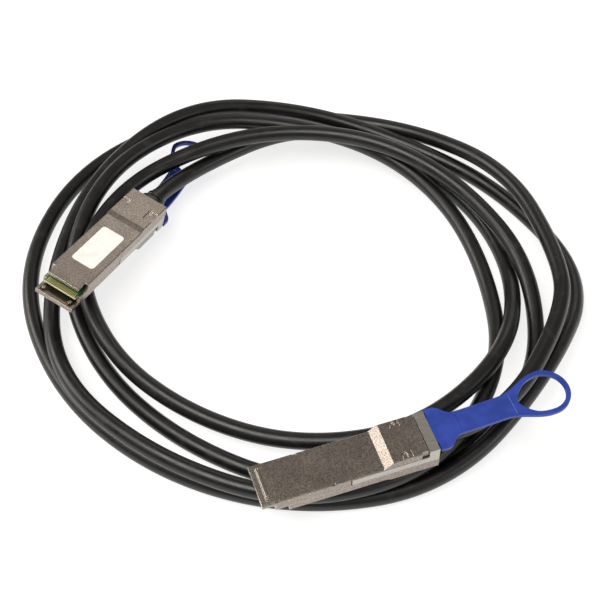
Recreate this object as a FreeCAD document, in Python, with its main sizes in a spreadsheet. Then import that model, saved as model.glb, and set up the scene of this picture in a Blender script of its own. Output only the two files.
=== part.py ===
"""Direct attach copper cable: two latching module plugs joined by one loosely coiled cable.

Each plug is modelled in its own frame: X runs from the rear of its metal body to the nose, Y across
its width and Z up through the latch side, with Z = 0 on the label side. The plugs are then placed
in the object's frame, where Z = 0 is the surface that the cable lies on. Lengths are millimetres.
"""
import FreeCAD, Part
import math
import os
import re

import Sketcher
from FreeCAD import Placement, Rotation, Vector

SIZES = {
    # die-cast body
    "plug_width": 18.35,
    "nose_height": 8.5,
    "metal_length": 72.0,
    "rear_rise": 3.0,
    "rear_block_length": 19.4,
    "step_run": 3.4,
    "split_height": 3.6,
    "wall": 1.3,
    "rear_wall": 9.6,
    "edge_round": 0.5,
    "cover_setback": 5.7,
    "cover_corner_length": 5.0,
    "cover_corner_inset": 1.7,
    "cover_rise": 0.8,
    "cover_rise_start": 18.4,
    "cover_rise_run": 2.4,
    "recess_start": 7.2,
    "recess_length": 5.8,
    "recess_reach": 4.8,
    "recess_depth": 0.6,
    "nose_bar_setback": 2.1,
    "nose_bar_run": 1.7,
    "nose_bar_height": 0.9,
    "nose_bar_width": 15.0,
    "nose_bar_round": 0.7,
    "nose_bar_hole": 1.1,
    "nose_bar_hole_floor": 0.2,
    "edge_notch_length": 1.6,
    "edge_notch_depth": 0.8,
    "front_notch_setback": 5.8,
    "middle_notch_setback": 18.5,
    "rear_notch_setback": 28.5,
    "post_diameter": 1.6,
    "post_spread": 13.0,
    "post_height": 2.0,
    "lip_wall_setback": 5.4,
    "lip_wall_height": 2.0,
    "lip_rim_run": 0.7,
    "lip_rim_height": 0.8,
    # detent pits on the rear block
    "pit_place": 14.4,
    "pit_spread": 14.6,
    "pit_diameter": 3.1,
    "pit_depth": 0.9,
    "pit_post_diameter": 1.2,
    "pit_bar_length": 1.1,
    "pit_bar_width": 3.1,
    "pit_bar_gap": 0.6,
    # cover screws
    "screw_place": 8.5,
    "screw_spread": 11.8,
    "screw_head": 1.8,
    "screw_head_height": 0.5,
    "screw_shank": 1.2,
    "screw_length": 5.4,
    # paddle card and what it carries
    "card_thickness": 1.0,
    "card_level": 3.7,
    "card_width": 15.5,
    "card_setback": 4.0,
    "card_length": 39.0,
    "pad_count": 19,
    "pad_pitch": 0.76,
    "pad_width": 0.46,
    "pad_length": 2.4,
    "pad_thickness": 0.1,
    "pad_inset": 0.4,
    "chip_setback": 18.0,
    "chip_length": 4.0,
    "chip_width": 5.0,
    "chip_height": 0.9,
    "potting_length": 8.0,
    "potting_width": 13.0,
    "potting_height": 4.2,
    "lead_diameter": 1.1,
    "lead_pitch": 2.9,
    "lead_gather": 1.25,
    # cable and strain relief
    "cable_diameter": 7.2,
    "cable_axis": 4.7,
    "ferrule_diameter": 7.8,
    "ferrule_bore": 5.6,
    "ferrule_length": 6.6,
    "boot_flange_length": 3.4,
    "boot_flange_width": 11.8,
    "boot_flange_height": 9.4,
    "boot_groove_length": 0.9,
    "boot_groove_diameter": 7.8,
    "boot_flange_round": 0.7,
    "boot_ring_round": 0.6,
    "boot_ring_diameter": 9.2,
    "boot_ring_length": 2.6,
    "boot_length": 9.0,
    # latch slider
    "latch_thickness": 0.6,
    "latch_clearance": 0.2,
    "slot_end_gap": 0.5,
    "bridge_start": 0.2,
    "bridge_length": 4.2,
    "arm_tip": 36.0,
    "arm_low": 4.4,
    "arm_high": 7.6,
    "arm_shoulder": 7.0,
    "spring_diameter": 2.0,
    "spring_wire": 0.35,
    "spring_turns": 5.0,
    "spring_pitch": 0.8,
    "spring_spread": 12.6,
    "spring_level": 7.4,
    "spring_pocket_gap": 0.3,
    # pull tab
    "tab_level": 9.9,
    "tab_thickness": 1.5,
    "tab_root_gap": 0.3,
    "tab_tongue_width": 12.0,
    "tab_base_width": 19.2,
    "tab_base_length": 3.4,
    "tab_flare_length": 6.8,
    "tab_neck_width": 10.2,
    "tab_shoulder_length": 19.2,
    "tab_loop_width": 20.4,
    "tab_length": 59.4,
    "tab_ribbon": 1.9,
    "tab_window_rise": 12.0,
    "tab_window_flat": 1.2,
    "tab_border": 0.9,
    "tab_emboss": 0.3,
    "tab_sway_plug_a": 9.0,
    "tab_sway_plug_b": -2.8,
    # label
    "label_start": 28.4,
    "label_length": 24.8,
    "label_width": 11.0,
    "label_thickness": 0.15,
    "label_corner": 1.5,
}

# Where each plug lies: its label-side rear edge, its heading, its pitch and its roll in degrees.
PLUGS = {
    "plug_a": {"place": (-65.6, 51.3, 22.4), "heading": 242.0, "nose_up": 11.0, "roll": 169.6},
    "plug_b": {"place": (52.9, -74.2, 16.2), "heading": 199.0, "nose_up": 0.0, "roll": 0.0},
}

# The coil, turn by turn: how far each turn reaches from the coil's centre and how high its route
# point lies, every 30 degrees clockwise from straight behind the centre. Turns that cross climb
# over each other, and the rest lie on the surface.
COIL_CENTRE = (1.9, 19.1)
COIL_STEP = 30.0
COIL_REACH = (
    (94, 88.5, 93, 95.5, 99.5, 96.5, 89, 87.5, 93, 99, 94, 80.5),
    (76.5, 79, 86, 102, 115.5, 112, 106, 98, 99, 104.5, 104.5, 98),
    (84.5, 81, 79, 83, 98.5, 114.5, 117.5, 113.5, 117, 111, 110.5, 108),
    (100, 99, 110, 128.5, 118, 120, 115, 113.5, 117.5, 124.5, 122.5, 107),
    (103.5, 109, 111.5, 112.5),
)
COIL_HEIGHT = (
    (9.5, 6, 3.8, 7, 18.5, 12.5, 8, 9.5, 12.5, 17, 15.5, 21),
    (22, 22, 19.5, 14, 3.8, 3.8, 3.8, 5, 6.5, 10.5, 20, 21),
    (17.5, 13.5, 11.5, 7.5, 9, 11.5, 11.5, 13, 12.5, 7, 14, 22),
    (13, 5, 3.8, 3.8, 17, 4, 3.8, 3.8, 3.8, 6, 8.5, 14),
    (5, 5, 17, 21),
)
COIL_END_ANGLE = -15.0
COIL_END_REACH = 115.5
COIL_END_HEIGHT = 21.0
LEAD_IN_RUN = 20.0
LEAD_OUT_RUN = 24.0
# How much of the shorter of its two runs an arc of the cable takes up.
ARC_SHARE = 0.45

# The pull tab's curved sides as shares of a run along the tab and of a run across it: the flare
# from base to neck, the shoulder from neck to finger loop, and the rounded start of the window.
TAB_FLARE = ((0.2, 0.87), (0.4, 0.65), (0.6, 0.38), (0.8, 0.15))
TAB_SHOULDER = ((0.15, 0.06), (0.3, 0.21), (0.45, 0.42), (0.6, 0.66), (0.75, 0.86), (0.88, 0.97))
TAB_WINDOW = ((0.0, 0.0), (0.04, 0.17), (0.1, 0.3), (0.17, 0.44), (0.26, 0.58), (0.36, 0.71),
              (0.47, 0.82), (0.6, 0.9), (0.8, 0.98))
# Room round the crimp ring and round a screw's head, and how far joined pieces reach into each other.
CHANNEL_CLEARANCE = 0.1
SINK_CLEARANCE = 0.2
OVERLAP = 0.2
# The height of a screw's outer face: the floor of the recess that it sits in.
SCREW_LEVEL = "-cover_rise + recess_depth"
# The leads lie in two layers, a small gap apart where they leave the ring and at each of their ends.
LEADS_PER_LAYER = 4
LEAD_LAYER_GAP = 0.3
LEAD_END_GAP = 0.2
# How far the potting reaches past the end of the card.
POTTING_REACH = 1.0

DOC = FreeCAD.newDocument("direct_attach_cable")
SHEET = DOC.addObject("Spreadsheet::Sheet", "dim")
SUBPARTS = []


def fill_sheet():
    """Write every driving size into the sheet under its own alias."""
    for row, (name, value) in enumerate(SIZES.items(), start=1):
        SHEET.set(f"A{row}", name)
        SHEET.set(f"B{row}", str(value))
        SHEET.setAlias(f"B{row}", name)
    DOC.recompute()


def size(name):
    """Return one driving size as a number."""
    return float(SHEET.get(name))


def bound(text):
    """Turn a formula over size names into an expression on the sheet."""
    return re.sub(r"[a-z]\w*", lambda word: f"dim.{word.group()}", str(text))


# ---------------------------------------------------------------- building blocks
def add_box(name, across_x, across_y, across_z):
    """Add a box whose two ends along each axis are formulas over the sizes."""
    block = DOC.addObject("Part::Box", name)
    spans = zip(("Length", "Width", "Height"), "xyz", (across_x, across_y, across_z))
    for side, axis, (low, high) in spans:
        block.setExpression(side, bound(f"({high}) - ({low})"))
        block.setExpression(f"Placement.Base.{axis}", bound(low))
    return block


def add_cylinder(name, diameter, length, start, axis=Vector(0, 0, 1)):
    """Add a cylinder from a start point given as three formulas, along an axis."""
    rod = DOC.addObject("Part::Cylinder", name)
    rod.Placement = Placement(Vector(), Rotation(Vector(0, 0, 1), axis))
    rod.setExpression("Radius", bound(f"({diameter}) / 2"))
    rod.setExpression("Height", bound(length))
    for letter, formula in zip("xyz", start):
        rod.setExpression(f"Placement.Base.{letter}", bound(formula))
    return rod


def fuse(name, pieces):
    """Join several pieces into one solid."""
    joined = DOC.addObject("Part::MultiFuse", name)
    joined.Shapes = pieces
    joined.Refine = True
    return joined


def cut(name, base, tools):
    """Take the tools away from the base."""
    result = DOC.addObject("Part::Cut", name)
    result.Base = base
    result.Tool = tools[0] if len(tools) == 1 else fuse(f"{name}_tools", tools)
    result.Refine = True
    return result


def group(name, pieces):
    """Keep several separate solids together as one sub-part."""
    kept = DOC.addObject("Part::Compound", name)
    kept.Links = pieces
    return kept


def round_edges(name, base, radius, wanted):
    """Round those edges of the base for which wanted(edge) holds."""
    DOC.recompute()
    rounded = DOC.addObject("Part::Fillet", name)
    rounded.Base = base
    chosen = [number for number, edge in enumerate(base.Shape.Edges, start=1) if wanted(edge)]
    rounded.Edges = [(number, radius, radius) for number in chosen]
    return rounded


def runs_along(edge, direction, least):
    """Tell whether an edge is a straight one along a direction, at least so long."""
    if edge.Curve.TypeId != "Part::GeomLine" or edge.Length < least:
        return False
    return abs(abs(edge.tangentAt(edge.FirstParameter).dot(direction)) - 1) < 1e-6


def add_sketch(body, name, role, offset=None):
    """Attach a sketch to one of the body's own planes, moved along the plane's normal."""
    sketch = body.newObject("Sketcher::SketchObject", name)
    plane = next(item for item in body.Origin.OriginFeatures if item.Role == role)
    sketch.AttachmentSupport = [(plane, "")]
    sketch.MapMode = "FlatFace"
    if offset is not None:
        sketch.setExpression("AttachmentOffset.Base.z", bound(offset))
    return sketch


def add_outline(sketch, corners):
    """Draw a closed outline whose corners are pairs of formulas over the sizes."""
    first = sketch.GeometryCount
    count = len(corners)
    points = [Vector(math.cos(math.tau * step / count), math.sin(math.tau * step / count), 0)
              for step in range(count)]
    for step in range(count):
        sketch.addGeometry(Part.LineSegment(points[step], points[(step + 1) % count]), False)
    for step in range(count):
        after = first + (step + 1) % count
        sketch.addConstraint(Sketcher.Constraint("Coincident", first + step, 2, after, 1))
    for step, corner in enumerate(corners):
        for kind, formula in zip(("DistanceX", "DistanceY"), corner):
            rule = Sketcher.Constraint(kind, -1, 1, first + step, 1, 0.0)
            number = sketch.addConstraint(rule)
            sketch.setExpression(f"Constraints[{number}]", bound(formula))


def add_circle(sketch, centre, diameter):
    """Draw a circle whose centre and diameter are formulas over the sizes."""
    ring = sketch.addGeometry(Part.Circle(Vector(0, 0, 0), Vector(0, 0, 1), 1), False)
    for kind, formula in zip(("DistanceX", "DistanceY"), centre):
        number = sketch.addConstraint(Sketcher.Constraint(kind, -1, 1, ring, 3, 0.0))
        sketch.setExpression(f"Constraints[{number}]", bound(formula))
    number = sketch.addConstraint(Sketcher.Constraint("Diameter", ring, 2.0))
    sketch.setExpression(f"Constraints[{number}]", bound(diameter))


def add_pad(body, name, sketch, length, both_ways=False, reverse=False):
    """Pad a sketch by a formula, to both sides of its plane where asked."""
    pad = body.newObject("PartDesign::Pad", name)
    pad.Profile = sketch
    pad.setExpression("Length", bound(length))
    pad.Midplane = both_ways
    pad.Reversed = reverse
    return pad


def add_pocket(body, name, sketch, depth):
    """Cut a sketch upwards out of the body by a formula."""
    pocket = body.newObject("PartDesign::Pocket", name)
    pocket.Profile = sketch
    pocket.setExpression("Length", bound(depth))
    pocket.Reversed = True
    return pocket


def finish(prefix, name, item):
    """Name a sub-part, put it where its plug lies and keep it for export."""
    item.Label = f"{prefix}_{name}"
    item.Placement = plug_placement(prefix)
    SUBPARTS.append(item)
    return item


def plug_placement(prefix):
    """Return where a plug's own frame lies in the object's frame."""
    pose = PLUGS[prefix]
    turn = Rotation(pose["heading"], -pose["nose_up"], 0)
    return Placement(Vector(*pose["place"]), turn.multiply(Rotation(Vector(1, 0, 0), pose["roll"])))


# ---------------------------------------------------------------- die-cast body
def mirrored(formula, side):
    """Return a formula on the left (1) or right (-1) side of the plug."""
    return f"({side}) * ({formula})"


def side_span(near, far, side):
    """Return the low and high ends of a span that lies on one side of the plug."""
    ends = (mirrored(near, side), mirrored(far, side))
    return ends if side > 0 else ends[::-1]


def channel_tool(prefix, name):
    """Return the bore that the ferrule sits in, through the rear wall of both halves."""
    return add_cylinder(f"{prefix}_{name}", f"ferrule_diameter + {CHANNEL_CLEARANCE}", "rear_wall + 2",
                        ("-1", "0", "cable_axis"), Vector(1, 0, 0))


def edge_notches(prefix):
    """Return the small gaps along the side edges of the flat latch face."""
    setbacks = (("front_notch_setback", 1), ("middle_notch_setback", -1),
                ("rear_notch_setback", 1))
    notches = []
    for setback, side in setbacks:
        start = f"metal_length - {setback} - edge_notch_length / 2"
        across = side_span("plug_width / 2 - edge_notch_depth", "plug_width / 2 + 1", side)
        notches.append(add_box(f"{prefix}_{setback}", (start, f"{start} + edge_notch_length"), across,
                               ("nose_height - edge_notch_depth", "nose_height + 1")))
    return notches


def detent_pits(prefix):
    """Return the round pits with a post and the bars beside them, as cuts in the rear block."""
    top = "nose_height + rear_rise"
    cuts = []
    for side, word in ((1, "left"), (-1, "right")):
        middle = mirrored("pit_spread / 2", side)
        pit = add_cylinder(f"{prefix}_pit_{word}", "pit_diameter", "pit_depth + 1",
                           ("pit_place", middle, f"{top} - pit_depth"))
        post = add_cylinder(f"{prefix}_pit_post_{word}", "pit_post_diameter", "pit_depth + 3",
                            ("pit_place", middle, f"{top} - pit_depth - 1"))
        cuts.append(cut(f"{prefix}_pit_ring_{word}", pit, [post]))
        bar_end = "pit_place - pit_diameter / 2 - pit_bar_gap"
        cuts.append(add_box(f"{prefix}_pit_bar_{word}", (f"{bar_end} - pit_bar_length", bar_end),
                            (f"{middle} - pit_bar_width / 2", f"{middle} + pit_bar_width / 2"),
                            (f"{top} - pit_depth", f"{top} + 1")))
    return cuts


def latch_recesses(prefix):
    """Return the room for the latch: a slot along each side and a seat across the rear."""
    depth = "latch_thickness + latch_clearance"
    cuts = []
    for side, word in ((1, "left"), (-1, "right")):
        across = side_span(f"plug_width / 2 - ({depth})", "plug_width / 2 + 1", side)
        cuts.append(add_box(f"{prefix}_arm_slot_{word}", ("-1", "arm_tip + slot_end_gap"), across,
                            ("arm_low - latch_clearance", "arm_high + latch_clearance")))
        cuts.append(add_box(f"{prefix}_shoulder_slot_{word}", ("-1", "arm_shoulder + slot_end_gap"), across,
                            ("arm_low - latch_clearance", "nose_height + rear_rise + 1")))
    cuts.append(add_box(f"{prefix}_bridge_seat", ("-1", "bridge_start + bridge_length + slot_end_gap"),
                        ("-plug_width", "plug_width"),
                        (f"nose_height + rear_rise - ({depth})", "nose_height + rear_rise + 1")))
    return cuts


def spring_pockets(prefix):
    """Return the two blind holes that the return springs sit in."""
    return [add_cylinder(f"{prefix}_spring_pocket_{word}", "spring_diameter + spring_pocket_gap",
                         "rear_wall",
                         ("rear_wall - spring_turns * spring_pitch - 2 * spring_pocket_gap",
                          mirrored("spring_spread / 2", side), "spring_level"), Vector(1, 0, 0))
            for side, word in ((1, "left"), (-1, "right"))]


def screw_holes(prefix, name, diameter, low, high):
    """Return holes for the two cover screws between two heights."""
    return [add_cylinder(f"{prefix}_{name}_{word}", diameter, f"({high}) - ({low})",
                         ("screw_place", mirrored("screw_spread / 2", side), low))
            for side, word in ((1, "left"), (-1, "right"))]


def nose_bar(prefix):
    """Return the raised rounded bar across the latch face near the nose, with its end holes."""
    end = "metal_length - nose_bar_setback"
    bar = add_box(f"{prefix}_nose_bar_block", (f"{end} - nose_bar_run", end),
                  ("-nose_bar_width / 2", "nose_bar_width / 2"),
                  ("nose_height - wall / 2", "nose_height + nose_bar_height"))
    foot = size("nose_height")
    rounded = round_edges(f"{prefix}_nose_bar_round", bar, size("nose_bar_round"),
                          lambda edge: edge.CenterOfMass.z > foot)
    holes = [add_cylinder(f"{prefix}_nose_bar_hole_{word}", "nose_bar_hole", "nose_bar_height + 1",
                          (f"{end} - nose_bar_run / 2",
                           mirrored("nose_bar_width / 2 - nose_bar_hole", side),
                           "nose_height + nose_bar_hole_floor"))
             for side, word in ((1, "left"), (-1, "right"))]
    return cut(f"{prefix}_nose_bar", rounded, holes)


def build_base(prefix):
    """Build the latch-side half: long lip, stepped rear block, latch slots and detent pits."""
    body = DOC.addObject("PartDesign::Body", f"{prefix}_base_body")
    profile = add_sketch(body, f"{prefix}_base_profile", "XZ_Plane")
    top = "nose_height + rear_rise"
    add_outline(profile, (("0", "split_height"), ("metal_length", "split_height"),
                          ("metal_length", "nose_height"),
                          ("rear_block_length + step_run", "nose_height"),
                          ("rear_block_length", top), ("0", top)))
    add_pad(body, f"{prefix}_base_pad", profile, "plug_width", both_ways=True)
    lengthwise = Vector(1, 0, 0)
    outer = size("plug_width") / 2 - 0.01
    eased = round_edges(f"{prefix}_base_eased", body, size("edge_round"), lambda edge: (
        runs_along(edge, lengthwise, 5) and abs(edge.CenterOfMass.y) > outer
        and edge.CenterOfMass.z > size("split_height") + 1))
    cavity = add_box(f"{prefix}_base_cavity", ("rear_wall", "metal_length + 1"),
                     ("-plug_width / 2 + wall", "plug_width / 2 - wall"),
                     ("split_height - 1", "nose_height - wall"))
    tools = [cavity, channel_tool(prefix, "base_channel")]
    tools += latch_recesses(prefix) + detent_pits(prefix) + edge_notches(prefix)
    tools += spring_pockets(prefix)
    tools.append(add_box(f"{prefix}_lip_side_cut",
                         ("metal_length - lip_wall_setback", "metal_length + 1"),
                         ("-plug_width", "plug_width"),
                         ("split_height - 1", "nose_height - lip_wall_height")))
    tools += screw_holes(prefix, "base_screw_hole", "screw_shank", "split_height - 1",
                         f"screw_length - cover_rise + recess_depth + {SINK_CLEARANCE}")
    hollow = cut(f"{prefix}_base_hollow", eased, tools)
    floor = "nose_height - wall"
    posts = [add_cylinder(f"{prefix}_nose_post_{word}", "post_diameter", f"post_height + {OVERLAP}",
                          ("metal_length - card_setback / 2", mirrored("post_spread / 2", side),
                           f"{floor} - post_height"))
             for side, word in ((1, "left"), (-1, "right"))]
    rim = add_box(f"{prefix}_lip_rim", ("metal_length - lip_rim_run", "metal_length"),
                  ("-plug_width / 2", "plug_width / 2"),
                  (f"{floor} - lip_rim_height", f"{floor} + {OVERLAP}"))
    finish(prefix, "base_shell", fuse(f"{prefix}_base", [hollow, nose_bar(prefix), rim] + posts))


def build_cover(prefix):
    """Build the label-side half: shorter, with cut front corners and a raised rear part."""
    body = DOC.addObject("PartDesign::Body", f"{prefix}_cover_body")
    profile = add_sketch(body, f"{prefix}_cover_profile", "XZ_Plane")
    front = "metal_length - cover_setback"
    add_outline(profile, (("0", "-cover_rise"), ("cover_rise_start", "-cover_rise"),
                          ("cover_rise_start + cover_rise_run", "0"), (front, "0"),
                          (front, "split_height"), ("0", "split_height")))
    add_pad(body, f"{prefix}_cover_pad", profile, "plug_width", both_ways=True)
    lengthwise = Vector(1, 0, 0)
    outer = size("plug_width") / 2 - 0.01
    eased = round_edges(f"{prefix}_cover_eased", body, size("edge_round"), lambda edge: (
        runs_along(edge, lengthwise, 5) and abs(edge.CenterOfMass.y) > outer
        and edge.CenterOfMass.z < 0.5))
    cavity = add_box(f"{prefix}_cover_cavity", ("rear_wall", f"{front} + 1"),
                     ("-plug_width / 2 + wall", "plug_width / 2 - wall"),
                     ("wall", "split_height + 1"))
    tools = [cavity, channel_tool(prefix, "cover_channel")]
    for side, word in ((1, "left"), (-1, "right")):
        across = side_span("plug_width / 2 - cover_corner_inset", "plug_width / 2 + 1", side)
        tools.append(add_box(f"{prefix}_cover_corner_{word}",
                             (f"{front} - cover_corner_length", f"{front} + 1"), across,
                             ("-1", "split_height + 1")))
        across = side_span("plug_width / 2 - recess_reach", "plug_width / 2 + 1", side)
        tools.append(add_box(f"{prefix}_cover_recess_{word}",
                             ("recess_start", "recess_start + recess_length"), across,
                             ("-cover_rise - 1", "-cover_rise + recess_depth")))
    tools += screw_holes(prefix, "cover_screw_hole", "screw_shank", "-cover_rise", "split_height + 1")
    tools += screw_holes(prefix, "cover_screw_sink", f"screw_head + {SINK_CLEARANCE}",
                         "-cover_rise - 1", f"{SCREW_LEVEL} + screw_head_height")
    finish(prefix, "cover_shell", cut(f"{prefix}_cover", eased, tools))


# ---------------------------------------------------------------- inside the body
def build_card(prefix):
    """Build the paddle card, its contact pads and its memory chip."""
    front = "metal_length - card_setback"
    card = add_box(f"{prefix}_card_blank", (f"{front} - card_length", front),
                   ("-card_width / 2", "card_width / 2"),
                   ("card_level", "card_level + card_thickness"))
    finish(prefix, "paddle_card", group(f"{prefix}_card", [card]))
    pads = []
    layers = (("latch", "card_level + card_thickness"), ("label", "card_level - pad_thickness"))
    for layer, low in layers:
        for number in range(int(size("pad_count"))):
            middle = f"({number} - (pad_count - 1) / 2) * pad_pitch"
            pads.append(add_box(f"{prefix}_pad_{layer}_{number}",
                                (f"{front} - pad_inset - pad_length", f"{front} - pad_inset"),
                                (f"{middle} - pad_width / 2", f"{middle} + pad_width / 2"),
                                (low, f"{low} + pad_thickness")))
    finish(prefix, "contact_pads", group(f"{prefix}_pads", pads))
    level = "card_level + card_thickness"
    start = f"{front} - chip_setback"
    chip = add_box(f"{prefix}_chip_blank", (start, f"{start} + chip_length"),
                   ("-chip_width / 2", "chip_width / 2"), (level, f"{level} + chip_height"))
    finish(prefix, "memory_chip", group(f"{prefix}_chip", [chip]))


def build_leads(prefix):
    """Build the eight lead pairs from the ferrule to the card and the potting over their joints."""
    centre = "card_level + card_thickness / 2"
    start = f"metal_length - card_setback - card_length - {POTTING_REACH}"
    potting = add_box(f"{prefix}_potting_blank", (start, f"{start} + potting_length"),
                      ("-potting_width / 2", "potting_width / 2"),
                      (f"{centre} - potting_height / 2", f"{centre} + potting_height / 2"))
    slot = add_box(f"{prefix}_potting_slot",
                   (f"{start} + {POTTING_REACH}", f"{start} + potting_length + 1"),
                   ("-card_width", "card_width"), ("card_level", "card_level + card_thickness"))
    finish(prefix, "potting_block", cut(f"{prefix}_potting", potting, [slot]))

    radius = size("lead_diameter") / 2
    card_end = size("metal_length") - size("card_setback") - size("card_length")
    potting_end = card_end - POTTING_REACH - LEAD_END_GAP
    mid_height = size("card_level") + size("card_thickness") / 2
    leads = []
    for layer in (-1, 1):
        for number in range(LEADS_PER_LAYER):
            offset = number - (LEADS_PER_LAYER - 1) / 2
            near = Vector(size("rear_wall") + LEAD_END_GAP, offset * size("lead_gather"),
                          size("cable_axis") + layer * (radius + LEAD_LAYER_GAP / 2))
            far = Vector(potting_end, offset * size("lead_pitch"),
                         mid_height + layer * (size("card_thickness") / 2 + radius))
            leads.append(Part.makeCylinder(radius, (far - near).Length, near, far - near))
    item = DOC.addObject("Part::Feature", f"{prefix}_leads")
    item.Shape = Part.makeCompound(leads)
    finish(prefix, "twinax_leads", item)


def build_ferrule(prefix):
    """Build the crimp ring that grips the cable's end inside the rear wall."""
    ring = add_cylinder(f"{prefix}_ferrule_ring", "ferrule_diameter", "ferrule_length",
                        ("rear_wall - ferrule_length", "0", "cable_axis"), Vector(1, 0, 0))
    bore = add_cylinder(f"{prefix}_ferrule_bore", "ferrule_bore", "ferrule_length + 2",
                        ("rear_wall - ferrule_length - 1", "0", "cable_axis"), Vector(1, 0, 0))
    finish(prefix, "crimp_ferrule", cut(f"{prefix}_ferrule", ring, [bore]))


def build_springs(prefix):
    """Build the two coil springs that push the latch back to rest."""
    length = size("spring_turns") * size("spring_pitch")
    radius = (size("spring_diameter") - size("spring_wire")) / 2
    coils = []
    for side in (1, -1):
        helix = Part.makeHelix(size("spring_pitch"), length, radius)
        start = Vector(radius, 0, 0)
        section = Part.Wire(Part.Circle(start, Vector(0, 1, 0), size("spring_wire") / 2).toShape())
        coil = Part.Wire(helix).makePipeShell([section], True, True)
        coil.Placement = Placement(Vector(size("rear_wall") - length - size("spring_pocket_gap"),
                                          side * size("spring_spread") / 2, size("spring_level")),
                                   Rotation(Vector(0, 0, 1), Vector(1, 0, 0)))
        coils.append(coil)
    item = DOC.addObject("Part::Feature", f"{prefix}_springs")
    item.Shape = Part.makeCompound(coils)
    finish(prefix, "return_springs", item)


# ---------------------------------------------------------------- outside the body
def build_boot(prefix):
    """Build the moulded strain relief: an oval flange, a groove and a smaller ring."""
    across = Vector(-1, 0, 0)
    flat = "(boot_flange_width - boot_flange_height) / 2"
    rounds = [add_cylinder(f"{prefix}_boot_flange_{word}", "boot_flange_height",
                           "boot_flange_length", ("0", mirrored(flat, side), "cable_axis"), across)
              for side, word in ((1, "left"), (-1, "right"))]
    middle = add_box(f"{prefix}_boot_flange_middle", ("-boot_flange_length", "0"),
                     (f"-({flat})", flat),
                     ("cable_axis - boot_flange_height / 2", "cable_axis + boot_flange_height / 2"))
    flange = round_edges(f"{prefix}_boot_flange", fuse(f"{prefix}_boot_oval", rounds + [middle]),
                         size("boot_flange_round"),
                         lambda edge: edge.CenterOfMass.x < -size("boot_flange_length") + 0.1)
    core = add_cylinder(f"{prefix}_boot_core", "boot_groove_diameter", "boot_length",
                        ("0", "0", "cable_axis"), across)
    ring = add_cylinder(f"{prefix}_boot_ring_blank", "boot_ring_diameter", "boot_ring_length",
                        ("-boot_flange_length - boot_groove_length", "0", "cable_axis"), across)
    ring_rounded = round_edges(f"{prefix}_boot_ring", ring, size("boot_ring_round"),
                               lambda edge: edge.Curve.TypeId == "Part::GeomCircle")
    finish(prefix, "strain_relief_boot", fuse(f"{prefix}_boot", [flange, core, ring_rounded]))


def build_latch(prefix):
    """Build the stamped latch: a bridge across the rear block and an arm along each side."""
    top = "nose_height + rear_rise"
    outer = "plug_width / 2"
    inner = "plug_width / 2 - latch_thickness"
    bridge = add_box(f"{prefix}_latch_bridge", ("bridge_start", "bridge_start + bridge_length"),
                     (f"-({outer})", outer), (f"{top} - latch_thickness", top))
    pieces = [bridge]
    for side, word in ((1, "left"), (-1, "right")):
        across = side_span(inner, outer, side)
        pieces.append(add_box(f"{prefix}_latch_shoulder_{word}",
                              ("bridge_start", "bridge_start + bridge_length"), across,
                              ("arm_low", top)))
        pieces.append(add_box(f"{prefix}_latch_arm_{word}", ("bridge_start", "arm_tip"), across,
                              ("arm_low", "arm_high")))
    finish(prefix, "latch_slider", fuse(f"{prefix}_latch", pieces))


def swayed(prefix, along, across):
    """Return a tab point's two formulas, moved sideways as the flexible tab bends along its run."""
    return along, f"({across}) + tab_sway_{prefix} * (({along}) / tab_length)^2"


def curve_side(start, run, inner, outer, shares):
    """Return points along a curved side: how far along its run, and how far out from its inner end."""
    return [(f"({start}) - {along} * ({run})", f"({inner}) + {out} * (({outer}) - ({inner}))")
            for along, out in shares]


def tab_outline(prefix, left):
    """Return a closed outline from its left side, given from root to loop, and its mirror image."""
    corners = [swayed(prefix, along, across) for along, across in left]
    return corners + [swayed(prefix, along, f"-({across})") for along, across in reversed(left)]


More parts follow.
